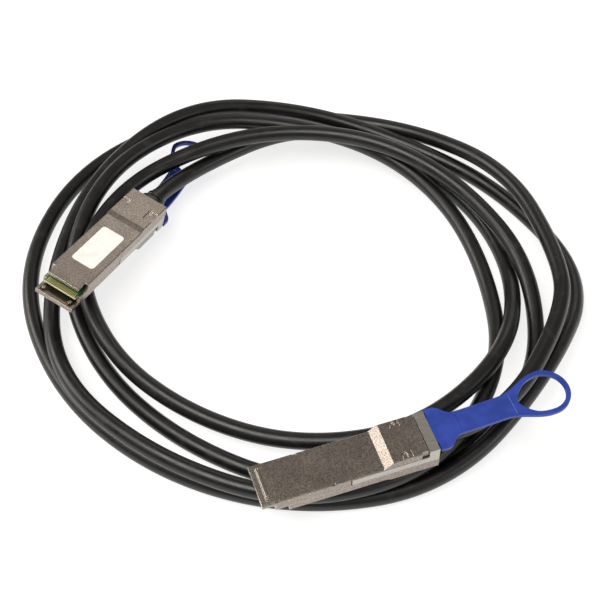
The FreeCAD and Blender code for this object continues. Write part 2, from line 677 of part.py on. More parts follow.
def build_tab(prefix):
    """Build the moulded pull tab: flared root, long neck and a finger loop with a round end."""
    body = DOC.addObject("PartDesign::Body", f"{prefix}_tab_body")
    loop_middle = "-tab_length + tab_loop_width / 2"
    base, neck, loop = "tab_base_width / 2", "tab_neck_width / 2", "tab_loop_width / 2"
    loop_centre = swayed(prefix, loop_middle, "0")
    neck_end = f"{loop_middle} + tab_shoulder_length"
    window_start = f"{loop_middle} + tab_window_rise"
    blank = add_sketch(body, f"{prefix}_tab_blank", "XY_Plane", "tab_level")
    left = [("-tab_root_gap", base), ("-tab_base_length", base)]
    left += curve_side("-tab_base_length", "tab_flare_length", neck, base, TAB_FLARE)
    left += [("-tab_base_length - tab_flare_length", neck), (neck_end, neck)]
    left += curve_side(neck_end, "tab_shoulder_length", neck, loop, TAB_SHOULDER)
    left.append((loop_middle, loop))
    add_outline(blank, tab_outline(prefix, left))
    add_pad(body, f"{prefix}_tab_pad", blank, "tab_thickness")
    end = add_sketch(body, f"{prefix}_tab_end", "XY_Plane", "tab_level")
    add_circle(end, loop_centre, "tab_loop_width")
    add_pad(body, f"{prefix}_tab_end_pad", end, "tab_thickness")
    window = add_sketch(body, f"{prefix}_tab_window", "XY_Plane", "tab_level")
    inner = "tab_loop_width / 2 - tab_ribbon"
    left = curve_side(window_start, "tab_window_rise", "tab_window_flat / 2", inner, TAB_WINDOW)
    left.append((loop_middle, inner))
    add_outline(window, tab_outline(prefix, left))
    add_pocket(body, f"{prefix}_tab_window_cut", window, "tab_thickness")
    round_end = add_sketch(body, f"{prefix}_tab_round", "XY_Plane", "tab_level")
    add_circle(round_end, loop_centre, "tab_loop_width - 2 * tab_ribbon")
    add_pocket(body, f"{prefix}_tab_round_cut", round_end, "tab_thickness")
    tongue = add_sketch(body, f"{prefix}_tab_tongue", "XY_Plane",
                        "nose_height + rear_rise - latch_thickness")
    half = "tab_tongue_width / 2"
    add_outline(tongue, (("-tab_base_length / 2", f"-{half}"), ("bridge_start", f"-{half}"),
                         ("bridge_start", half), ("-tab_base_length / 2", half)))
    add_pad(body, f"{prefix}_tab_tongue_pad", tongue, "latch_thickness")
    emboss = add_sketch(body, f"{prefix}_tab_emboss", "XY_Plane",
                        "tab_level + tab_thickness - tab_emboss")
    rim = "tab_neck_width / 2 - tab_border"
    panel_start = "-tab_base_length - tab_flare_length - tab_border"
    left = [(panel_start, rim), (f"{neck_end} + tab_border", rim)]
    add_outline(emboss, tab_outline(prefix, left))
    add_pocket(body, f"{prefix}_tab_emboss_cut", emboss, "tab_emboss + 1")
    finish(prefix, "pull_tab", body)


# ---------------------------------------------------------------- label and screws
def build_label(prefix):
    """Build the plain label on the label side."""
    sheet = add_box(f"{prefix}_label_sheet", ("label_start", "label_start + label_length"),
                    ("-label_width / 2", "label_width / 2"), ("-label_thickness", "0"))
    upright = Vector(0, 0, 1)
    finish(prefix, "label", round_edges(f"{prefix}_label_rounded", sheet, size("label_corner"),
                                        lambda edge: runs_along(edge, upright, 0.01)))


def build_screws(prefix):
    """Build the two flush screws that hold the cover to the base."""
    screws = []
    for side, word in ((1, "left"), (-1, "right")):
        middle = mirrored("screw_spread / 2", side)
        head = add_cylinder(f"{prefix}_screw_head_{word}", "screw_head", "screw_head_height",
                            ("screw_place", middle, SCREW_LEVEL))
        shank = add_cylinder(f"{prefix}_screw_shank_{word}", "screw_shank", "screw_length",
                             ("screw_place", middle, SCREW_LEVEL))
        screws.append(fuse(f"{prefix}_screw_{word}", [head, shank]))
    finish(prefix, "cover_screws", group(f"{prefix}_screws", screws))


# ---------------------------------------------------------------- cable
def boot_end(prefix):
    """Return the middle of a boot's rear face and the direction that the cable leaves it in."""
    frame = plug_placement(prefix)
    out = frame.Rotation.multVec(Vector(-1, 0, 0))
    return frame.multVec(Vector(-size("boot_length"), 0, size("cable_axis"))), out


def coil_point(angle, reach, height):
    """Return a point of the coil, given its direction and distance from the coil's centre."""
    turn = math.radians(angle)
    return Vector(COIL_CENTRE[0] + reach * math.cos(turn),
                  COIL_CENTRE[1] + reach * math.sin(turn), height)


def cable_route():
    """Return the route's points from the first boot, round the coil, to the second boot."""
    start, start_out = boot_end("plug_a")
    end, end_out = boot_end("plug_b")
    points = [start, start + start_out * LEAD_IN_RUN]
    angle = 90.0
    for reaches, heights in zip(COIL_REACH, COIL_HEIGHT):
        for reach, height in zip(reaches, heights):
            points.append(coil_point(angle, reach, height))
            angle -= COIL_STEP
    points.append(coil_point(COIL_END_ANGLE, COIL_END_REACH, COIL_END_HEIGHT))
    return points + [end + end_out * LEAD_OUT_RUN, end]


def build_cable():
    """Build the cable's jacket as a tube along straight runs joined by tangent arcs."""
    points = cable_route()
    edges = []
    radii = []
    last = points[0]
    for before, corner, after in zip(points, points[1:], points[2:]):
        back = (before - corner).normalize()
        ahead = (after - corner).normalize()
        turn = math.pi - back.getAngle(ahead)
        reach = ARC_SHARE * min(before.distanceToPoint(corner), corner.distanceToPoint(after))
        radius = reach / math.tan(turn / 2)
        inward = (back + ahead).normalize()
        middle = corner + inward * (radius / math.cos(turn / 2) - radius)
        first, second = corner + back * reach, corner + ahead * reach
        edges += [Part.LineSegment(last, first).toShape(), Part.Arc(first, middle, second).toShape()]
        radii.append(radius)
        last = second
    edges.append(Part.LineSegment(last, points[-1]).toShape())
    path = Part.Wire(edges)
    out = boot_end("plug_a")[1]
    section = Part.Wire(Part.Circle(points[0], out, size("cable_diameter") / 2).toShape())
    tube = path.makePipeShell([section], True, True)
    item = DOC.addObject("Part::Feature", "cable_tube")
    item.Shape = tube
    item.Label = "cable_jacket"
    SUBPARTS.append(item)
    section_area = math.pi * size("cable_diameter") ** 2 / 4
    print("cable length", round(path.Length, 1), "mm, arc radii", sorted(round(r) for r in radii))
    print("tube volume over section times length", tube.Volume / (section_area * path.Length))


# ---------------------------------------------------------------- checks and files
def check_document():
    """Stop if any object failed or any sub-part has no sound shape."""
    DOC.recompute()
    for item in DOC.Objects:
        if "Invalid" in item.State or "Error" in item.State:
            raise RuntimeError(f"{item.Name} failed: {item.State}")
    for item in SUBPARTS:
        if item.Shape.isNull() or not item.Shape.isValid() or not item.Shape.Solids:
            raise RuntimeError(f"{item.Label} has no sound shape")


def export_subparts():
    """Write each sub-part's shape to its own file."""
    os.makedirs("parts", exist_ok=True)
    for item in SUBPARTS:
        item.Shape.exportStep(f"parts/{item.Label}.step")


def main():
    """Build every sub-part, check it and write its file."""
    fill_sheet()
    for prefix in PLUGS:
        for build in (build_base, build_cover, build_card, build_leads, build_ferrule,
                      build_springs, build_boot, build_latch, build_tab, build_label,
                      build_screws):
            build(prefix)
    build_cable()
    check_document()
    export_subparts()
    print(len(SUBPARTS), "sub-parts")


main()
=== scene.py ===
"""Direct attach copper cable: the looks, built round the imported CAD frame.

Two latching module plugs of nickel-plated die-cast zinc, each with a moulded pull tab, joined by one
loosely coiled black cable. A class's lengths are in millimetres; a finished mesh is in metres.
"""
import logging
import math
from dataclasses import dataclass
from enum import Enum
from typing import Any, Callable

import bmesh
import bpy
from mathutils import Matrix, Vector


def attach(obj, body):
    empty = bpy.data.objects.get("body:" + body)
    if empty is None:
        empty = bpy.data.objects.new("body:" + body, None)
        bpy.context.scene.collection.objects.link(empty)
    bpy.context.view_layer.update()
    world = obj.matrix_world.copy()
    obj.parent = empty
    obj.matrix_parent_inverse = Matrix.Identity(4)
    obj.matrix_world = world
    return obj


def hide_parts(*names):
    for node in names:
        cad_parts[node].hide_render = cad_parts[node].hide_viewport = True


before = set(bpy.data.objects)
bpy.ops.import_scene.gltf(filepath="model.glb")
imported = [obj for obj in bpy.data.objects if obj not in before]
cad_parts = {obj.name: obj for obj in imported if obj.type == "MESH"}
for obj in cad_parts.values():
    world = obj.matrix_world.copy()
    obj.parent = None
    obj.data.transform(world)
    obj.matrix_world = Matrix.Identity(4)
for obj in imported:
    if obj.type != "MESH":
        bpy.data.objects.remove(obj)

LOG = logging.getLogger("direct_attach_cable")
MM = 0.001
SAME_PLACE = 1e-3        # in edit mode, points nearer than this many millimetres are the same
FACING = 0.9             # a face looks along an axis when its normal's share of it is above this
FIXED_BODY = "cable_assembly"


# ------------------------------------------------------------------ materials: the small tools
def linear(hex_colour: str) -> tuple[float, float, float, float]:
    """Turn an sRGB colour into a linear one.

    Args:
        hex_colour: The sRGB colour, as "#rrggbb".

    Returns:
        Linear red, green, blue and alpha.
    """
    value = int(hex_colour.lstrip("#"), 16)
    parts = [((value >> shift) & 255) / 255 for shift in (16, 8, 0)]
    return tuple(c / 12.92 if c <= 0.04045 else ((c + 0.055) / 1.055) ** 2.4 for c in parts) + (1.0,)


def add_node(tree: bpy.types.NodeTree, kind: str, settings: dict | None = None,
             links: dict | None = None) -> bpy.types.Node:
    """Add one shader node.

    Args:
        tree: The material's node tree.
        kind: The node's type name after "ShaderNode".
        settings: Attribute or socket names with their values; "stops" sets a ramp's stops.
        links: Socket names of the new node with the (node, output) that feeds each.

    Returns:
        The new node.
    """
    node = tree.nodes.new(f"ShaderNode{kind}")
    for name, value in (settings or {}).items():
        if name == "stops":
            ramp = node.color_ramp
            for number, (place, colour) in enumerate(value):
                stop = ramp.elements[number] if number < 2 else ramp.elements.new(place)
                stop.position = place
                stop.color = colour
        elif isinstance(name, int) or name in node.inputs:
            node.inputs[name].default_value = value
        else:
            setattr(node, name, value)
    for name, (source, output) in (links or {}).items():
        tree.links.new(source.outputs[output], node.inputs[name])
    return node


def across(width: float) -> float:
    """Return the texture scale that makes a pattern's lumps about width millimetres wide."""
    return 1 / (width * MM)


@dataclass(frozen=True)
class Finish:
    """What every finish has: its name, its two colours and how rough it is."""

    name: str
    colour: str
    shade: str
    roughness: float
    metallic: float = 0.0

    def start(self) -> tuple[bpy.types.Material, bpy.types.NodeTree, bpy.types.Node,
                             bpy.types.Node]:
        """Make an empty material with a Principled shader.

        Returns:
            The material, its node tree, its Principled node and its Texture Coordinate node.
        """
        material = bpy.data.materials.new(self.name)
        material.use_nodes = True
        tree = material.node_tree
        tree.nodes.clear()
        shader = add_node(tree, "BsdfPrincipled",
                          {"Metallic": self.metallic, "Roughness": self.roughness})
        add_node(tree, "OutputMaterial", links={"Surface": (shader, "BSDF")})
        return material, tree, shader, add_node(tree, "TexCoord")

    def stops(self, low: float, high: float) -> tuple:
        """Return a ramp's stops: the shade at low, the colour at high."""
        return (low, linear(self.shade)), (high, linear(self.colour))

    def tint(self, tree: bpy.types.NodeTree, shader: bpy.types.Node, source: tuple,
             low: float, high: float) -> None:
        """Feed the base colour from shade to colour as a source goes from low to high."""
        ramp = add_node(tree, "ValToRGB", {"stops": self.stops(low, high)}, {"Fac": source})
        tree.links.new(ramp.outputs["Color"], shader.inputs["Base Color"])

    def vary_roughness(self, tree: bpy.types.NodeTree, shader: bpy.types.Node, source: tuple,
                       spread: float) -> None:
        """Let the roughness wander round its own value.

        Args:
            tree: The material's node tree.
            shader: The material's Principled node.
            source: The (node, output) that it follows.
            spread: How far it goes to each side.
        """
        span = add_node(tree, "MapRange", {"From Min": 0.3, "From Max": 0.7,
                                           "To Min": self.roughness - spread,
                                           "To Max": self.roughness + spread}, {"Value": source})
        tree.links.new(span.outputs["Result"], shader.inputs["Roughness"])

    def relief(self, tree: bpy.types.NodeTree, shader: bpy.types.Node, source: tuple,
               height: float, strength: float = 1.0, under: bpy.types.Node | None = None
               ) -> bpy.types.Node:
        """Raise the surface by a source.

        Args:
            tree: The material's node tree.
            shader: The material's Principled node.
            source: The (node, output) that gives the height.
            height: The full height in millimetres.
            strength: The share of it that shows.
            under: The relief that this one lies over, if any.

        Returns:
            The bump node.
        """
        links = {"Height": source}
        if under is not None:
            links["Normal"] = (under, "Normal")
        bump = add_node(tree, "Bump", {"Distance": height * MM, "Strength": strength}, links)
        tree.links.new(bump.outputs["Normal"], shader.inputs["Normal"])
        return bump


@dataclass(frozen=True)
class CastNickel(Finish):
    """Zinc alloy from a steel die under satin nickel: a fine orange-peel grain, soft warm sheen."""

    grain: float = 0.5
    depth: float = 0.006
    edge: float = 0.2
    # the edges' pale colour: part worn plating, part painted highlight
    rubbed_and_highlight: str = "#e6e0d8"
    cloud: float = 9.0
    flat_turn: float = 0.995
    edge_turn: float = 0.9

    def make(self) -> bpy.types.Material:
        """Make the material: speckled grain, and softened edges painted paler, partly plating worn
        bright by handling and partly a painted highlight.

        The real grain is about 0.2 mm; it is drawn coarser so that it shows. An edge is where the
        softened normal turns away from the face's own, from flat_turn to edge_turn as cosines.

        Returns:
            The material.
        """
        material, tree, shader, place = self.start()
        grain = add_node(tree, "TexNoise", {"Scale": across(self.grain), "Detail": 2.0},
                         {"Vector": (place, "Object")})
        cloud = add_node(tree, "TexNoise", {"Scale": across(self.cloud), "Detail": 2.0},
                         {"Vector": (place, "Object")})
        soft = add_node(tree, "Bevel", {"samples": 6, "Radius": self.edge * MM})
        turn = add_node(tree, "VectorMath", {"operation": "DOT_PRODUCT"},
                        {0: (soft, "Normal"), 1: (add_node(tree, "NewGeometry"), "Normal")})
        # painted highlight mixed with real wear: the mask is 1 along every edge, where the plating is
        # worn and where light would catch
        wear_and_highlight = add_node(tree, "MapRange", {"From Min": self.flat_turn, "From Max": self.edge_turn},
                        {"Value": (turn, "Value")})
        body = add_node(tree, "ValToRGB", {"stops": self.stops(0.35, 0.65)}, {"Fac": (grain, "Fac")})
        colour = add_node(tree, "Mix", {"data_type": "RGBA", 7: linear(self.rubbed_and_highlight)},
                          {0: (wear_and_highlight, "Result"), 6: (body, "Color")})
        tree.links.new(colour.outputs[2], shader.inputs["Base Color"])
        self.vary_roughness(tree, shader, (cloud, "Fac"), 0.04)
        self.relief(tree, shader, (grain, "Fac"), self.depth, 1.0, soft)
        return material


@dataclass(frozen=True)
class DrawnMetal(Finish):
    """Metal that was rolled, drawn or turned: smooth, with faint lines along one way."""

    turn: float = 0.0
    line: float = 0.25
    stretch: float = 30.0

    def make(self) -> bpy.types.Material:
        """Make the material: the lines run along the frame's X, many times as long as wide.

        The turn comes after the stretch: it only gives each piece a pattern of its own.

        Returns:
            The material.
        """
        material, tree, shader, place = self.start()
        turned = add_node(tree, "Mapping", {"Rotation": (0, 0, -math.radians(self.turn)),
                                            "Scale": (1 / self.stretch, 1, 1)},
                          {"Vector": (place, "Object")})
        lines = add_node(tree, "TexNoise", {"Scale": across(self.line), "Detail": 3.0},
                         {"Vector": (turned, "Vector")})
        self.tint(tree, shader, (lines, "Fac"), 0.3, 0.6)
        self.vary_roughness(tree, shader, (lines, "Fac"), 0.05)
        self.relief(tree, shader, (lines, "Fac"), 0.006, 0.5)
        return material


@dataclass(frozen=True)
class MouldedPlastic(Finish):
    """Plastic from a spark-eroded mould: an even satin grain with a few paler rubs."""

    grain: float = 0.35
    depth: float = 0.012
    cloud: float = 7.0
    plastic_ior: float = 1.49

    def make(self) -> bpy.types.Material:
        """Make the material: grain in the relief, slow clouds in the colour and gloss.

        Returns:
            The material.
        """
        material, tree, shader, place = self.start()
        shader.inputs["IOR"].default_value = self.plastic_ior
        grain = add_node(tree, "TexNoise", {"Scale": across(self.grain), "Detail": 2.0},
                         {"Vector": (place, "Object")})
        cloud = add_node(tree, "TexNoise", {"Scale": across(self.cloud), "Detail": 5.0},
                         {"Vector": (place, "Object")})
        self.tint(tree, shader, (cloud, "Fac"), 0.38, 0.6)
        self.vary_roughness(tree, shader, (cloud, "Fac"), 0.06)
        self.relief(tree, shader, (grain, "Fac"), self.depth, 0.7)
        return material


@dataclass(frozen=True)
class ExtrudedJacket(Finish):
    """PVC drawn over the shield: satin black, faint lines along its run, dull rubbed patches."""

    length: float = 2870.0
    girth: float = 22.6
    line: float = 0.8
    stretch: float = 40.0
    rub: float = 6.0
    skin: float = 0.5

    def make(self) -> bpy.types.Material:
        """Make the material: the map's first side runs along the cable, its second round it.

        Returns:
            The material.
        """
        material, tree, shader, place = self.start()
        unrolled = add_node(tree, "Mapping", {"Scale": (self.length * MM, self.girth * MM, 1)},
                            {"Vector": (place, "UV")})
        drawn = add_node(tree, "Mapping", {"Scale": (1 / self.stretch, 1, 1)},
                         {"Vector": (unrolled, "Vector")})
        lines = add_node(tree, "TexNoise", {"Scale": across(self.line), "Detail": 2.0},
                         {"Vector": (drawn, "Vector")})
        rubs = add_node(tree, "TexNoise", {"Scale": across(self.rub), "Detail": 6.0},
                        {"Vector": (place, "Object")})
        skin = add_node(tree, "TexNoise", {"Scale": across(self.skin), "Detail": 3.0},
                        {"Vector": (place, "Object")})
        self.tint(tree, shader, (rubs, "Fac"), 0.62, 0.4)
        self.vary_roughness(tree, shader, (rubs, "Fac"), 0.07)
        first = self.relief(tree, shader, (lines, "Fac"), 0.03, 0.5)
        self.relief(tree, shader, (skin, "Fac"), 0.02, 0.6, first)
        return material


@dataclass(frozen=True)
class SolderMaskBoard(Finish):
    """Glass-filled board under green solder mask: a glossy skin over the weave of the glass.

    Its milled edge has no mask, so the pale laminate shows there.
    """

    thread: float = 0.5
    cloud: float = 3.0
    coat: float = 0.6
    coat_roughness: float = 0.12
    laminate: str = "#d9cfa6"
    up: tuple[float, float, float] = (0.0, 0.0, 1.0)
    face_turn: float = 0.7
    wave_scale: float = 0.314

    def make(self) -> bpy.types.Material:
        """Make the material: two crossed waves for the weave, a clear coat for the mask.

        What faces along up, by more than face_turn as a cosine, is a broad side with mask on it.
        At wave_scale the wave texture's bands are one unit apart.

        Returns:
            The material.
        """
        material, tree, shader, place = self.start()
        shader.inputs["Coat Weight"].default_value = self.coat
        shader.inputs["Coat Roughness"].default_value = self.coat_roughness
        cloud = add_node(tree, "TexNoise", {"Scale": across(self.cloud), "Detail": 3.0},
                         {"Vector": (place, "Object")})
        mask = add_node(tree, "ValToRGB", {"stops": self.stops(0.35, 0.6)}, {"Fac": (cloud, "Fac")})
        turn = add_node(tree, "VectorMath", {"operation": "DOT_PRODUCT", 1: self.up},
                        {0: (add_node(tree, "NewGeometry"), "True Normal")})
        level = add_node(tree, "Math", {"operation": "ABSOLUTE"}, {0: (turn, "Value")})
        face = add_node(tree, "Math", {"operation": "GREATER_THAN", 1: self.face_turn},
                        {0: (level, "Value")})
        colour = add_node(tree, "Mix", {"data_type": "RGBA", 6: linear(self.laminate)},
                          {0: (face, "Value"), 7: (mask, "Color")})
        tree.links.new(colour.outputs[2], shader.inputs["Base Color"])
        under = None
        for direction in ("X", "Y"):
            weave = add_node(tree, "TexWave", {"bands_direction": direction,
                                               "Scale": self.wave_scale * across(self.thread)},
                             {"Vector": (place, "Object")})
            under = self.relief(tree, shader, (weave, "Fac"), 0.01, 0.4, under)
        return material


@dataclass(frozen=True)
class PrintedFilm(Finish):
    """Polyester label film: matt white, a little uneven where the glue takes hold."""

    cloud: float = 4.0

    def make(self) -> bpy.types.Material:
        """Make the material: faint clouds in the white and a shallow wave from the glue.

        Returns:
            The material.
        """
        material, tree, shader, place = self.start()
        cloud = add_node(tree, "TexNoise", {"Scale": across(self.cloud), "Detail": 4.0},
                         {"Vector": (place, "Object")})
        self.tint(tree, shader, (cloud, "Fac"), 0.3, 0.55)
        self.vary_roughness(tree, shader, (cloud, "Fac"), 0.05)
        self.relief(tree, shader, (cloud, "Fac"), 0.03, 0.5)
        return material


# ------------------------------------------------------------------ light, camera and floor
@dataclass(frozen=True)
class Softbox:
    """One soft studio light; its place, width and depth are in metres, its power in watts."""

    name: str
    place: tuple[float, float, float]
    width: float
    depth: float
    power: float
    colour: str = "#ffffff"

    def build(self, target: Vector) -> None:
        """Hang the light and turn it to the target.

        Args:
            target: The point that it shines at, in metres.
        """
        lamp = bpy.data.lights.new(self.name, "AREA")
        lamp.shape = "RECTANGLE"
        lamp.size = self.width
        lamp.size_y = self.depth
        lamp.energy = self.power
        lamp.color = linear(self.colour)[:3]
        item = bpy.data.objects.new(self.name, lamp)
        item.location = self.place
        item.rotation_euler = (target - item.location).to_track_quat("-Z", "Y").to_euler()
        bpy.context.scene.collection.objects.link(item)


@dataclass
class Studio:
    """The camera, the pale floor and the soft light round the object."""

    aim: tuple[float, float, float] = (1.9, 11.1, 0.0)
    distance: float = 577.0
    elevation: float = 52.0
    lens: float = 78.0
    sensor: float = 36.0
    floor_side: float = 40.0          # in metres
    floor_colour: str = "#a6a6a6"
    floor_roughness: float = 0.9
    floor_glow: float = 0.75
    room_colour: str = "#f4f1ec"
    room_light: float = 0.35
    boxes: tuple[Softbox, ...] = (
        Softbox("overhead_softbox", (-0.35, -0.3, 1.1), 0.9, 0.6, 11.0, "#fffaf4"),
        Softbox("left_softbox", (-1.2, 0.3, 0.7), 0.9, 0.7, 9.0, "#fffaf5"),
        Softbox("right_fill", (1.1, -0.6, 0.6), 0.8, 0.6, 3.0),
        Softbox("rear_card", (0.25, 0.94, 0.68), 0.6, 0.3, 0.8, "#fffaf5"),
    )

    def build(self) -> None:
        """Place the camera, the floor, the lights and the grey of the room."""
        scene = bpy.context.scene
        aim = Vector(self.aim) * MM
        tilt = math.radians(self.elevation)
        away = Vector((0, -math.cos(tilt), math.sin(tilt))) * self.distance * MM
        camera = bpy.data.objects.new("camera", bpy.data.cameras.new("camera"))
        camera.data.lens = self.lens
        camera.data.sensor_width = self.sensor
        camera.location = aim + away
        camera.rotation_euler = (-away).to_track_quat("-Z", "Y").to_euler()
        scene.collection.objects.link(camera)
        scene.camera = camera
        self.lay_floor()
        for box in self.boxes:
            box.build(aim)
        world = bpy.data.worlds.new("studio_room")
        scene.world = world
        world.use_nodes = True
        background = world.node_tree.nodes["Background"]
        background.inputs["Color"].default_value = linear(self.room_colour)
        background.inputs["Strength"].default_value = self.room_light
        scene.view_settings.view_transform = "Standard"

    def lay_floor(self) -> None:
        """Lay the plain pale floor just under the cable."""
        bpy.ops.object.select_all(action="DESELECT")
        bpy.ops.mesh.primitive_plane_add(size=self.floor_side, location=(0, 0, 0))
        floor = bpy.context.object
        floor.name = "floor"
        material = bpy.data.materials.new("white_sweep")
        material.use_nodes = True
        shader = material.node_tree.nodes["Principled BSDF"]
        shader.inputs["Base Color"].default_value = linear(self.floor_colour)
        shader.inputs["Roughness"].default_value = self.floor_roughness
        shader.inputs["Emission Color"].default_value = linear("#ffffff")
        shader.inputs["Emission Strength"].default_value = self.floor_glow
        floor.data.materials.append(material)


# ------------------------------------------------------------------ where the plugs lie
@dataclass(frozen=True)
class PlugPose:
    """Where one plug lies: its own X runs to the nose and its own Z up through the latch side.

    The sway is how far the tip of its flexible pull tab bends sideways, in millimetres.
    """

    prefix: str
    latch_body: str
    place: tuple[float, float, float]
    heading: float
    nose_up: float
    roll: float
    sway: float

    def matrix(self) -> Matrix:
        """Turn the plug's own millimetres into the frame's metres.

        Returns:
            The matrix that does it.
        """
        turns = (("Z", self.heading), ("Y", -self.nose_up), ("X", self.roll))
        result = Matrix.Translation(Vector(self.place) * MM)
        for axis, degrees in turns:
            result = result @ Matrix.Rotation(math.radians(degrees), 4, axis)
        return result @ Matrix.Scale(MM, 4)


PLUG_A = PlugPose("plug_a", "latch_a", (-65.6, 51.3, 22.4), 242.0, 11.0, 169.6, 9.0)
PLUG_B = PlugPose("plug_b", "latch_b", (52.9, -74.2, 16.2), 199.0, 0.0, 0.0, -2.8)


# ------------------------------------------------------------------ modelling: the small tools
class Part(Enum):
    """What a selection is made of."""

    POINTS = "VERT"
    EDGES = "EDGE"
    FACES = "FACE"


def start_edit(item: bpy.types.Object) -> None:
    """Make a piece the only selected one and enter edit mode.

    Args:
        item: The piece.
    """
    bpy.ops.object.select_all(action="DESELECT")
    item.select_set(True)
    bpy.context.view_layer.objects.active = item
    bpy.ops.object.mode_set(mode="EDIT")


def pick(part: Part, test: Callable[[Any], bool]) -> None:
    """Select, in edit mode, what passes a test, and nothing else.

    Args:
        part: Whether points, edges or faces are selected.
        test: Gets a point, an edge or a face and says whether it is wanted.
    """
    mesh = bpy.context.edit_object.data
    bpy.ops.mesh.select_mode(type=part.value)
    bpy.ops.mesh.select_all(action="DESELECT")
    shape = bmesh.from_edit_mesh(mesh)
    group = {Part.POINTS: shape.verts, Part.EDGES: shape.edges, Part.FACES: shape.faces}[part]
    for entry in [entry for entry in group if test(entry)]:
        entry.select_set(True)
    bmesh.update_edit_mesh(mesh)


def middle(edge: bmesh.types.BMEdge) -> Vector:
    """Return the middle of an edge."""
    return (edge.verts[0].co + edge.verts[1].co) / 2


def eased(share: float) -> float:
    """Return a smooth rise from 0 to 1 as the share goes from 0 to 1."""
    return (1 - math.cos(math.pi * min(max(share, 0.0), 1.0))) / 2


def is_rim(edge: bmesh.types.BMEdge, upright: float = 0.3, level: float = FACING) -> bool:
    """Say whether an edge lies between a level face and an upright one.

    Args:
        edge: The edge.
        upright: The highest upward share of an upright face's normal.
        level: The lowest upward share of a level face's normal.

    Returns:
        Whether it does.
    """
    if len(edge.link_faces) != 2:
        return False
    slopes = sorted(abs(face.normal.z) for face in edge.link_faces)
    return slopes[0] < upright and slopes[1] > level


def complete(item: bpy.types.Object, matrix: Matrix, material: bpy.types.Material,
             body: str, node: str, smooth: float = 40.0) -> bpy.types.Object:
    """Leave edit mode, put a piece in its place, hang it on its body and hide the solid that it stands
    for.

    Args:
        item: The piece, modelled in its plug's own millimetres.
        matrix: Turns those into the frame's metres.
        material: The finish it gets.
        body: The body that it rides on.
        node: The solid that it stands for.
        smooth: Edges flatter than this many degrees are shaded smooth.

    Returns:
        The piece.
    """
    if item.mode == "EDIT":
        bpy.ops.object.mode_set(mode="OBJECT")
    bpy.ops.object.shade_smooth_by_angle(angle=math.radians(smooth))
    item.data.transform(matrix @ item.matrix_world)
    item.matrix_world = Matrix.Identity(4)
    item.data.materials.clear()
    item.data.materials.append(material)
    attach(item, body)
    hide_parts(node)
    return item


